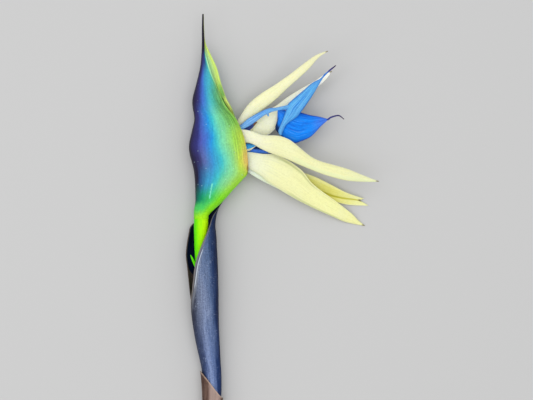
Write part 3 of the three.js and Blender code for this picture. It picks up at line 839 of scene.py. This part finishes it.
def dryBrownSkin():
    skin = startFinish("dryBrownSkin", 0.55, 0.12)
    place = objectPlace(skin)
    y = parts(place)[1]
    u, v = skinPlace(skin)
    strands = fibres(u, 80, y, 60, 0, 5, 0.65)
    broad = fibres(u, 14, y, 50, 6, 3)
    speckle = grain(place, 800, 3, 0.7)
    colour = ramp(broad, [(0.28, (80, 56, 48)), (0.5, (122, 94, 84)), (0.72, (166, 138, 124))])
    colour = shaded(colour, 0.7, strands, 0.28, (120, 104, 100), 0.62)
    colour = shaded(colour, 0.5, speckle, 0.3, (150, 140, 138), 0.6)
    # a painted highlight over its top
    tanHighlight = window(u, 0.14, 0.27, 0.06) * spread(v, 0.5, 0.9, 1, 0.3)
    colour = painted(colour, (210, 186, 176), tanHighlight, 0.48)
    # painted shade down its left side
    leftShade = window(u, 0.37, 0.5, 0.08) * 0.6
    colour = blend(leftShade, colour, paint((150, 140, 136)), "MULTIPLY")
    colour = painted(colour, (198, 172, 154), spread(v, 0.012, 0.05, 1, 0), 0.6)
    return endFinish(skin, colour, strands + speckle * 0.5, 0.6, speckle, 0.45, 0.7)


def dryLining():
    skin = startFinish("dryLining", 0.75, 0.2)
    drawnOut = {"Vector": objectPlace(skin), "Scale": (900, 60, 900)}
    strands = grain(Flow(addNode(skin.node_tree, "Mapping", drawnOut)), 1, 4)
    colour = ramp(strands, [(0.3, (96, 76, 66)), (0.7, (178, 156, 136))])
    return endFinish(skin, colour, strands, 0.4)


finishPiece(
    makeSheet(lowerSheath["columns"], lowerSheath["rows"], lowerPlace, lowerWall),
    "lower_sheath", [dryBrownSkin(), dryLining()],
    lowerSheath["wall"], -1, lowerSheath["thinnest"], 1,
)
print("lower sheath made")


sepalWall = 0.9
petalWall = 0.8

# what every sepal and petal has, unless its own table says otherwise
blade = {
    "columns": 24,
    "rows": 96,
    "cup": 0.12,  # how far the middle is lifted, as a part of the width
    "fold": 0,  # 1 where the middle is a crease
    "notch": 0,  # how far the middle of the tip is drawn back
    "crown": (0.5, 0.5),  # where across the blade it stands highest, at its base and tip
    "roll": 0.35,  # how far the edges roll down
    "ripple": 0.25,
    "ribs": 9,
    "ribHeight": 0.05,
    "flatBase": True,
}
shaftForm = {"columns": 14, "rows": 60, "roll": 0.2, "ripple": 0.1, "ribs": 3}
headForm = {"rows": 70, "flatBase": False, "ribs": 5, "ribHeight": 0.1}
smallForm = {"columns": 14, "rows": 30, "cup": 0.1, "ribs": 3}


# A place across a blade, moved so that its highest line stands at 0.5.
def fromCrown(u, v, crown):
    return u ** (math.log(0.5) / math.log(mixed(*crown, eased(v, 0.72, 1))))


# A sepal or petal between two edges, given from its base to its tip.
def bladePlace(shape):
    upper = evenPath(shape["upper"])
    lower = evenPath(shape["lower"])

    def place(u, v):
        ahead = Vector()
        for edge in (upper, lower):
            ahead += (edge(v + 0.01) - edge(v - 0.01)).normalized()
        ahead.normalize()
        side = lower(v) - upper(v)
        width = side.length
        lift = side.cross(ahead).normalized()
        if lift.z < 0:
            lift.negate()
        bent = fromCrown(u, v, shape["crown"])
        rounded = 4 * bent * (1 - bent)
        sharp = 1 - abs(2 * bent - 1)
        start = eased(v, 0, 0.2) if shape["flatBase"] else 1
        height = start * shape["cup"] * width * mixed(rounded, sharp, shape["fold"])
        wide = eased(width, 1, 8)
        toEdge = abs(2 * u - 1)
        rib = shape["ribHeight"] * math.cos(2 * math.pi * shape["ribs"] * u)
        height += (rib - shape["roll"] * toEdge**10) * wide
        height += shape["ripple"] * wander(u, v, 1.2, 7, shape["seed"]) * wide * (0.35 + toEdge)
        back = shape["notch"] * sharp * eased(v, 0.8, 1)
        return upper(v) + side * u + lift * height - ahead * back

    return place


def bladeWall(u, v):
    return mixed(0.35, 1, eased(min(u, 1 - u), 0, 0.14)) * mixed(1, 0.45, eased(v, 0.6, 1))


def makeBlade(shape, form, chart=None):
    shape = {**blade, **form, **shape}
    return makeSheet(shape["columns"], shape["rows"], bladePlace(shape), bladeWall, chart)


# Each has its two edges and its form, then its colours: the base, middle, outer part and tip,
# a tone and its strength for each edge, and tones on stretches from low to high u and v.
sepals = {
    "sepal_upper_outer": {
        "upper": [[-45, 77, 12.8], [-37.5, 83.5, 13], [-28, 97.5, 14.5], [-17.5, 106.5, 17.5],
                  [-5.5, 114, 22], [6.5, 122.5, 26], [17, 130.5, 30], [26.5, 137, 33.5],
                  [36, 140.5, 35.5]],
        "lower": [[-45, 73, 13.4], [-33.5, 81, 13.8], [-16.5, 93.5, 15], [-6, 101.5, 18.5],
                  [4, 111, 22.5], [13, 119, 26.5], [21, 126.5, 30.5], [28.5, 135, 33.8],
                  [36, 140, 35.3]],
        "cup": 0.16, "seed": 2.3,
        "length": [(234, 234, 210), (245, 244, 198), (240, 239, 194), (234, 232, 190)],
        # its olive lower edge is painted shade
        "upperEdge": ((222, 222, 186), 0.3), "lowerEdge": ((196, 196, 130), 0.6),
    },
    "sepal_upper_back": {
        "upper": [[-45, 74.5, 10.6], [-34, 82, 10], [-21.5, 89.5, 9.8], [-12, 94, 10], [-5.5, 97, 10.4],
                  [4, 104, 11], [14.5, 110.5, 11.6], [26, 117, 12.4], [33, 122, 13.2], [39, 125, 14]],
        "lower": [[-45, 70, 10.6], [-32, 71, 10], [-21.5, 70.5, 9.6], [-13.5, 72.5, 9.8],
                  [-7.5, 77, 10.2], [-4, 81.5, 10.6], [4, 91, 11], [14, 99, 11.4], [22.5, 107, 12],
                  [28.5, 112.5, 12.4], [34, 117.5, 13.2], [39.5, 124.5, 14]],
        "cup": 0.1, "seed": 4.1,
        # its near-white outer part and faint veins paint light into the shade that the arrow head and
        # the sepal above cast on it
        "length": [(250, 252, 222), (246, 247, 216), (255, 255, 240), (255, 255, 242)],
        "upperEdge": ((252, 252, 240), 0.5), "lowerEdge": ((252, 252, 244), 0.7), "veins": 0.12,
    },
    "sepal_upper_front": {
        "upper": [[-45, 75, 18], [-36, 78, 18.3], [-26, 77, 19.4], [-16.5, 73.5, 21.4],
                  [-4.5, 73, 23.2], [4, 70.5, 24.5], [10.5, 66, 25], [21.5, 57, 25], [30.5, 52.5, 24.6],
                  [50, 47, 23], [62, 42.3, 21.2], [70.5, 38.8, 19.8], [77, 36.7, 18.5]],
        "lower": [[-45, 71, 18], [-36, 67.5, 18], [-26, 67, 18.6], [-16.5, 62, 20.2],
                  [-8.5, 58.5, 21.6], [2.5, 54.5, 23.4], [15, 49, 24.2], [30, 43, 24], [41, 39.5, 23.4],
                  [52, 37, 22.4], [63, 36.2, 20.6], [71, 36.1, 19.6], [77, 36.3, 18.3]],
        "cup": 0.14, "seed": 6.6,
        "length": [(240, 240, 214), (236, 236, 186), (238, 238, 180), (234, 238, 190)],
        # its olive lower edge and the greener band on its lower half are painted shade
        "upperEdge": ((250, 250, 226), 0.5), "lowerEdge": ((206, 208, 150), 0.5),
        "bands": [((226, 236, 184), 0.5, 0.66, 0.9, 0.5, 0.95)],
    },
    "sepal_lower_front": {
        "upper": [[-42.5, 59, 16.2], [-28.5, 60, 15.8], [-16, 58.5, 16.2], [-7, 58, 16.8],
                  [4, 53.5, 16.8], [15, 45.5, 15.6], [19.5, 40, 14.6], [23.5, 35, 13],
                  [31.5, 28.5, 10.6], [42, 21, 7.4], [55, 11, 3.3], [60.8, 5, 1.3], [66, 1.1, 0.45]],
        "lower": [[-42.5, 54.5, 16.4], [-34, 50, 15.8], [-26, 46, 15.2], [-18, 41.1, 14.4],
                  [-9.5, 34.1, 13.4], [6.5, 24.5, 10.6], [16, 19.3, 8.8], [27.5, 13.8, 6.8],
                  [39.5, 8.5, 4.4], [49, 4.3, 2.1], [57, 2.4, 0.9], [66, 0.9, 0.4]],
        "crown": (0.56, 0.56), "seed": 8.2,
        "length": [(235, 239, 212), (239, 239, 184), (244, 244, 176), (241, 240, 171)],
        "upperEdge": ((250, 250, 206), 0.6), "lowerEdge": ((224, 230, 184), 0.6),
        # both bands are painted shadow lines along folds near its lower and upper margins
        "bands": [((196, 206, 138), 0.5, 0.9, 0.94, 0.5, 0.8),
                  ((188, 194, 128), 0.6, 0.075, 0.085, 0.36, 0.56)],
    },
    "sepal_lower_back": {
        "upper": [[-42.5, 59.5, 10.4], [-28.5, 57.5, 9.6], [-14, 52, 8.6], [2, 47, 7.8], [18, 43, 7],
                  [27.5, 39.5, 6.4], [39.5, 33.5, 5.2], [52, 27.2, 3.6], [65.5, 22.6, 1.9]],
        "lower": [[-42.5, 55.5, 10.2], [-28.5, 49, 9.2], [-14, 41.5, 7.6], [2, 35, 5.8], [18, 29, 4.2],
                  [30.5, 24, 3], [42.5, 20, 2.2], [54, 17.6, 1.2], [69, 17, 0.5]],
        "cup": -0.1, "fold": 1, "notch": 5, "crown": (0.7, 0.42), "roll": 0, "ripple": 0.12,
        "seed": 9.4,
        "length": [(255, 254, 168), (255, 253, 158), (234, 229, 124), (236, 236, 166)],
        "upperEdge": ((246, 246, 190), 0.4), "lowerEdge": ((244, 246, 196), 0.6),
        # the crease tone is painted shade in the crease
        "crease": ((188, 182, 34), 0.9),
    },
    "sepal_lower_inner": {
        "upper": [[-42.5, 56.5, 12.6], [-29.5, 53.5, 12.2], [-16.5, 47, 11.6], [-5.5, 40, 10.6],
                  [6, 31, 9], [13, 24.4, 7.7]],
        "lower": [[-42.5, 53.5, 12.6], [-32.5, 47.7, 12.2], [-26, 42.6, 11.8], [-15, 36.2, 10.8],
                  [-5, 31.2, 9.6], [5, 26.6, 8.4], [13, 23.6, 7.6]],
        "cup": 0.08, "seed": 3.7,
        "length": [(240, 250, 242), (234, 246, 234), (234, 242, 202), (240, 240, 188)],
        "upperEdge": ((206, 222, 196), 0.4), "lowerEdge": ((216, 236, 222), 0.5),
    },
}


def creamSkin(name, shape):
    soft = {"Subsurface Weight": 0.12, "Subsurface Radius": (0.6, 0.5, 0.25), "Subsurface Scale": 0.002}
    skin = startFinish(name, 0.55, 0.2, soft)
    place = objectPlace(skin)
    u, v = skinPlace(skin)
    veins = fibres(u, 34, v, 5, 0, 4, 0.6)
    mottle = grain(place, 700, 2, 0.6)
    base, middle, outer, tip = shape["length"]
    stops = [(0, base), (0.16, base), (0.34, middle), (0.75, outer), (0.95, tip)]
    colour = ramp(v + jitter(veins, 0.05), stops)
    colour = painted(colour, (238, 240, 196), spread(grain(place, 70), 0.45, 0.75, 0, 0.35))
    colour = shaded(colour, shape.get("veins", 0.26), veins, 0.3, (206, 208, 168), 0.52)
    colour = shaded(colour, 0.18, mottle, 0.3, (210, 210, 190), 0.55)
    # edge tones: pale rims, and on some sepals an olive lower edge that is painted shade
    for edge, start, end in (("upperEdge", 0.06, 0), ("lowerEdge", 0.9, 1)):
        tone, strength = shape[edge]
        colour = painted(colour, tone, spread(u, start, end), strength)
    # bands paint shade along folds and over a lower half
    for tone, strength, lowU, highU, lowV, highV in shape.get("bands", []):
        near = window(u, lowU, highU, 0.05) * window(v, lowV, highV, 0.1)
        colour = painted(colour, tone, near, strength)
    dryTip = spread(v, 0.972, 0.99)
    # painted shade along the crease
    if "crease" in shape:
        tone, strength = shape["crease"]
        colour = painted(colour, tone, window(u, 0.47, 0.51, 0.12), strength)
        dryTip = dryTip * window(u, 0.4, 0.55, 0.15)
    colour = painted(colour, (112, 100, 72), dryTip, 0.85)
    return endFinish(skin, colour, veins + mottle * 0.25, 0.18, mottle, 0.48, 0.64)


def creasedChart(u, v):
    return fromCrown(u, v, sepals["sepal_lower_back"]["crown"]), v


for node, shape in sepals.items():
    chart = creasedChart if "crease" in shape else None
    skins = [creamSkin(node + "Skin", shape)]
    finishPiece(makeBlade(shape, {}, chart), node, skins, sepalWall)
print("sepals made")


# The arrow of each flower is two petals grown together round the style: a narrow shaft and a
# wide head with a lobe that points back. Their colours run from base to tip, with a tone for
# their dark veins and one for their edges, and bright is the strength of the pale veins.
arrows = {
    "arrow_petal_upper": {
        "slot": "light_petal_skin",
        "shaft": {
            "upper": [[-45, 76, 15.3], [-34, 81.5, 17], [-27, 87, 18.8], [-16, 93, 20.6],
                      [-10, 95, 21.6], [-4.5, 95.5, 22.2], [6, 98, 22.8]],
            "lower": [[-45, 72.5, 15.3], [-31, 78.5, 17], [-24.5, 82, 18.8], [-16.5, 88, 20.4],
                      [-11, 91, 21.4], [-4.5, 93, 22], [6.5, 94, 22.6]],
            "cup": 0.2, "seed": 1.2,
        },
        "head": {
            "upper": [[-2, 73, 20], [-3.5, 77, 20.4], [-0.5, 84.5, 21.4], [2.5, 93, 22.2],
                      [4, 98, 22.6], [10.5, 104, 23.4], [17, 109.5, 24], [23.5, 115, 24.6],
                      [30, 118.5, 25.2], [33, 122, 25.6], [37, 125, 26]],
            "lower": [[-1, 73.5, 20], [2, 80.5, 20.6], [5.5, 84, 21.2], [11.5, 88, 21.8],
                      [15.5, 93, 22.4], [19.5, 98.5, 23], [23.5, 104.5, 23.6], [28, 112, 24.4],
                      [31.5, 118, 25.2], [34, 121, 25.6], [37.5, 124.5, 26]],
            "cup": 0.14, "fold": 0.5, "ripple": 0.3, "seed": 5.2,
        },
        "spur": [[-12.2, 91, 21.1, 0.6, 0.4], [-11.9, 90, 21.1, 0.5, 0.35],
                 [-11.4, 88.8, 21, 0.2, 0.2]],
        "length": [(150, 206, 255), (120, 186, 244), (98, 184, 240), (66, 126, 214)],
        "dark": (36, 112, 210), "edge": (24, 66, 156), "bright": 0.4, "midline": 0.45,
    },
    "arrow_petal_lower": {
        "slot": "deep_petal_skin",
        "shaft": {
            "upper": [[-42.5, 62, 12.4], [-34, 65, 12.2], [-24.5, 66, 12.4], [-15, 64.5, 13],
                      [-8, 64.5, 14], [-0.5, 69.5, 15.2], [6, 77, 16.8]],
            "lower": [[-42.5, 58.5, 12.4], [-34, 59.5, 12.2], [-24.5, 59, 12.4], [-15, 58.5, 13],
                      [-6, 59, 14], [2.5, 64.5, 15.2], [11.5, 72, 16.8]],
            "cup": 0.1, "seed": 7.2,
        },
        "head": {
            "upper": [[-4, 93.5, 16.6], [2, 93.5, 16.8], [8, 92.5, 17], [14.5, 91.5, 17.2],
                      [22, 89.5, 17.6], [28, 88.5, 18], [35.5, 86.5, 18.6]],
            "lower": [[-4, 92, 16.6], [-4.4, 85, 16.7], [-6, 79, 16.8], [-3, 74.5, 17], [2.5, 70, 17],
                      [9.5, 67, 17], [14.5, 68.5, 17.2], [21.5, 71.5, 17.4], [26, 75.5, 17.8],
                      [30.5, 80.5, 18.2], [35.5, 85, 18.6]],
            "cup": 0.08, "fold": 0.3, "ripple": 0.5, "seed": 2.9,
        },
        "length": [(90, 150, 255), (80, 140, 250), (14, 140, 250), (76, 128, 236)],
        "dark": (8, 84, 204), "edge": (36, 44, 140), "bright": 0.12, "veins": 0.5,
        # shade is painted shade where sepals lie over the shaft and where the upper arrow shades the
        # head
        "shade": ((6, 20, 56), 0.9),
    },
}


def blueSkin(name, petal):
    skin = startFinish(name, 0.45, 0.15)
    u, v = skinPlace(skin)
    veins = fibres(u, 34, v, 3, 0, 4, 0.65)
    broad = fibres(u, 7, v, 2.4, 8, 2)
    mottle = grain(objectPlace(skin), 600, 2, 0.6)
    toEdge = abs(u * 2 - 1)
    base, shaft, head, tip = petal["length"]
    dark = petal["dark"]
    stops = [(0, base), (0.3, shaft), (0.62, head), (0.85, head), (0.98, tip)]
    colour = ramp(v * 0.5, stops)
    colour = painted(colour, dark, spread(broad, 0.4, 0.75, 0, 0.5))
    colour = painted(colour, (190, 230, 255), spread(veins, 0.5, 0.3, 0, petal["bright"]))
    colour = painted(colour, dark, spread(veins, 0.5, 0.66, 0, petal.get("veins", 0.75)))
    colour = shaded(colour, 0.3, mottle, 0.3, (190, 195, 215), 0.6)
    if "midline" in petal:
        midline = window(u, 0.44, 0.47, 0.03) * window(v, 1.3, 1.9, 0.1)
        colour = painted(colour, dark, midline, petal["midline"])
    colour = painted(colour, dark, spread(toEdge, 0.5, 1, 0, 0.5))
    colour = painted(colour, petal["edge"], spread(toEdge, 0.86, 0.98, 0, 0.75))
    if "dryMargin" in petal:
        lowU, highU, lowV, highV, tone = petal["dryMargin"]
        margin = window(u, lowU, highU, 0.06) * window(v, lowV, highV, 0.05)
        colour = painted(colour, tone, margin)
    # painted shade: the upper arrow's shadow on the head's corner, and the sepals' shade over the
    # shaft's upper half and far end
    if "shade" in petal:
        tone, strength = petal["shade"]
        near = spread(u, 0.7, 0.86) * window(v, 1.12, 1.26, 0.06)
        fold = maths("MAXIMUM", spread(u, 0.4, 0.66, 1, 0), spread(v, 0.5, 0.6))
        near = maths("ADD", near, fold * spread(v, 0.9, 1, 1, 0), True)
        colour = painted(colour, tone, near, strength)
    return endFinish(skin, colour, veins + mottle * 0.3, 0.4, mottle, 0.38, 0.55)


def headChart(u, v):
    return u, v + 1


for node, arrow in arrows.items():
    bm = makeBlade(arrow["shaft"], shaftForm)
    joinMeshes(bm, makeBlade(arrow["head"], headForm, headChart))
    if "spur" in arrow:
        joinMeshes(bm, makeTube(arrow["spur"], sides=10, steps=8, rim=0.05))
    finishPiece(bm, node, [blueSkin(node + "Skin", arrow)], petalWall)
print("arrow petals made")


smallPetals = {
    "small_petal_upper": {
        "upper": [[-45, 71.6, 14.4], [-36, 77, 14.6], [-29.5, 80, 15.2], [-20.8, 84.4, 16.2]],
        "lower": [[-45, 70, 14.4], [-36, 74, 14.4], [-27, 77, 15], [-20.4, 83.6, 16.1]],
        "seed": 1.9,
        "length": [(44, 56, 120), (48, 66, 140), (52, 66, 140), (50, 60, 130)],
        "dark": (14, 24, 70), "edge": (24, 24, 60), "bright": 0.25,
        "dryMargin": (-0.1, 1.1, 0.9, 1.1, (136, 98, 66)),
    },
    "small_petal_lower": {
        "upper": [[-42.5, 62, 14.5], [-34, 65, 14.5], [-28, 67, 14.7], [-21.5, 65.5, 14.9]],
        "lower": [[-42.5, 59.6, 14.5], [-34, 60, 14.4], [-27, 60.5, 14.5], [-21.5, 64.5, 14.8]],
        "seed": 3.3,
        "length": [(60, 176, 255), (72, 190, 255), (60, 176, 255), (30, 90, 200)],
        "dark": (20, 90, 200), "edge": (14, 26, 70), "bright": 0.2,
        "dryMargin": (0.72, 0.9, 0.62, 0.98, (246, 244, 216)),
    },
}

for node, shape in smallPetals.items():
    skins = [blueSkin(node + "Skin", shape)]
    finishPiece(makeBlade(shape, smallForm), node, skins, petalWall)
print("small petals made")


styles = {
    "style_upper": [[36, 123.6, 25.9, 0.6, 0.4], [37.6, 125.1, 26.1, 0.7, 0.5],
                    [40, 127, 26.4, 0.6, 0.5], [42.5, 129, 26.8, 0.35, 0.35]],
    "style_lower": [[34.6, 85.7, 18.5, 0.6, 0.4], [36.2, 85.9, 18.7, 0.8, 0.5],
                    [38.5, 87.6, 19, 0.7, 0.5], [43.5, 89, 19.4, 0.6, 0.5], [46, 88.5, 19.6, 0.5, 0.45],
                    [49, 86, 19.8, 0.3, 0.3]],
}


def styleSkin():
    skin = startFinish("styleSkin", 0.5, 0.2)
    fuzz = grain(objectPlace(skin), 900, 3, 0.7)
    stops = [(0, (52, 84, 176)), (0.4, (58, 56, 130)), (0.8, (52, 40, 92)), (1, (58, 44, 70))]
    colour = shaded(ramp(skinPlace(skin)[1], stops), 0.6, fuzz, 0.3, (130, 130, 150), 0.6)
    return endFinish(skin, colour, fuzz, 0.3)


def threeSided(angle, v):
    return 1 + 0.08 * math.cos(3 * angle)


threadSkin = styleSkin()
for node, rows in styles.items():
    bm = makeTube(rows, sides=12, steps=30, shape=threeSided, rim=0.08)
    finishPiece(bm, node, [threadSkin])
print("styles made")


# The two flower bases inside the spathe swell into the seed cases that the blades stand on.
# Each row has x, y, z, half width and half height, as the styles' rows have.
bases = {
    "flower_base_upper": [[-65.6, 24, 13, 1.6, 1.8], [-66, 38, 13, 2, 2.4], [-63, 55, 13.2, 2.8, 3.2],
                          [-57, 70, 13.6, 3.7, 4.3], [-51, 73.2, 14, 4.2, 5], [-48, 73.8, 14, 4.3, 5.3],
                          [-46.5, 73.8, 14, 4.4, 5.5], [-44.4, 73.8, 14, 4.3, 5.4]],
    "flower_base_lower": [[-63, 24, 13, 1.6, 1.8], [-61, 34, 13, 2, 2.4], [-56.5, 46, 13.2, 2.9, 3.3],
                          [-52, 55, 13.4, 3.9, 4.5], [-48.5, 57.2, 13.5, 4.5, 5.1],
                          [-45.5, 57.6, 13.5, 4.6, 5.2], [-44, 57.6, 13.5, 4.7, 5.4],
                          [-42, 57.6, 13.5, 4.6, 5.3]],
}


def lobed(angle, v):
    return 1 + 0.07 * math.cos(3 * angle) * eased(v, 0.3, 0.7) + 0.02 * math.cos(12 * angle)


def paleSkin():
    skin = startFinish("paleSkin", 0.5, 0.25, {"Coat Weight": 0.1, "Coat Roughness": 0.3})
    u, v = skinPlace(skin)
    strands = fibres(u, 30, v, 6)
    colour = ramp(v, [(0, (200, 222, 140)), (0.5, (212, 226, 160)), (1, (236, 236, 206))])
    colour = shaded(colour, 0.6, strands, 0.3, (170, 190, 120), 0.6)
    return endFinish(skin, colour, strands, 0.3)


baseSkin = paleSkin()
for node, rows in bases.items():
    bm = makeTube(rows, sides=28, steps=60, shape=lobed, rim=0.4)
    finishPiece(bm, node, [baseSkin])
print("flower bases made")


# sizes and places in metres
studio = {
    "floorSize": 9,
    "floorGrey": (195, 195, 195),
    "worldGrey": (204, 204, 204),
    "worldStrength": 1.12,
    "aim": (-0.02, 0.02, 0),  # what both lights point at
    "lights": {  # power, width, place, and whether it shows in glossy skin
        "overheadSoftbox": (14.6, 2.2, (-0.12, 0.15, 1.5), False),
        "sideSoftbox": (2.2, 0.7, (-1.3, -0.5, 1.1), True),
    },
}
# in millimetres: the point the camera looks at, what it sees across there, and its height above
view = {"middle": (-12.96, 21.6, 13), "across": 426.4, "above": 5000}


def makeFloor():
    bm = bmesh.new()
    bmesh.ops.create_grid(bm, x_segments=1, y_segments=1, size=studio["floorSize"] / 2)
    mesh = bpy.data.meshes.new("floor")
    bm.to_mesh(mesh)
    bm.free()
    floor = bpy.data.objects.new("floor", mesh)
    scene.collection.objects.link(floor)
    mesh.materials.append(startFinish("paleFloor", 0.9, 0, {"Base Color": paint(studio["floorGrey"])}))


def makeLight(name, power, width, place, glossy):
    light = bpy.data.lights.new(name, "AREA")
    light.shape = "DISK"
    light.size = width
    light.energy = power
    lamp = bpy.data.objects.new(name, light)
    lamp.location = place
    towards = Vector(studio["aim"]) - Vector(place)
    lamp.rotation_euler = towards.to_track_quat("-Z", "Y").to_euler()
    lamp.visible_camera = False
    lamp.visible_glossy = glossy
    scene.collection.objects.link(lamp)


def makeWorld():
    world = bpy.data.worlds.new("studio")
    world.use_nodes = True
    back = world.node_tree.nodes["Background"]
    back.inputs["Color"].default_value = paint(studio["worldGrey"])
    back.inputs["Strength"].default_value = studio["worldStrength"]
    scene.world = world


def makeCamera():
    data = bpy.data.cameras.new("camera")
    data.sensor_width = 36
    data.lens = data.sensor_width * view["above"] / view["across"]
    data.clip_start = 0.05
    data.clip_end = 100
    camera = bpy.data.objects.new("camera", data)
    camera.location = (Vector(view["middle"]) + Vector((0, 0, view["above"]))) * mm
    scene.collection.objects.link(camera)
    scene.camera = camera


makeFloor()
makeWorld()
for name, settings in studio["lights"].items():
    makeLight(name, *settings)
makeCamera()
scene.view_settings.view_transform = "Standard"
print("studio made")

bpy.context.view_layer.update()
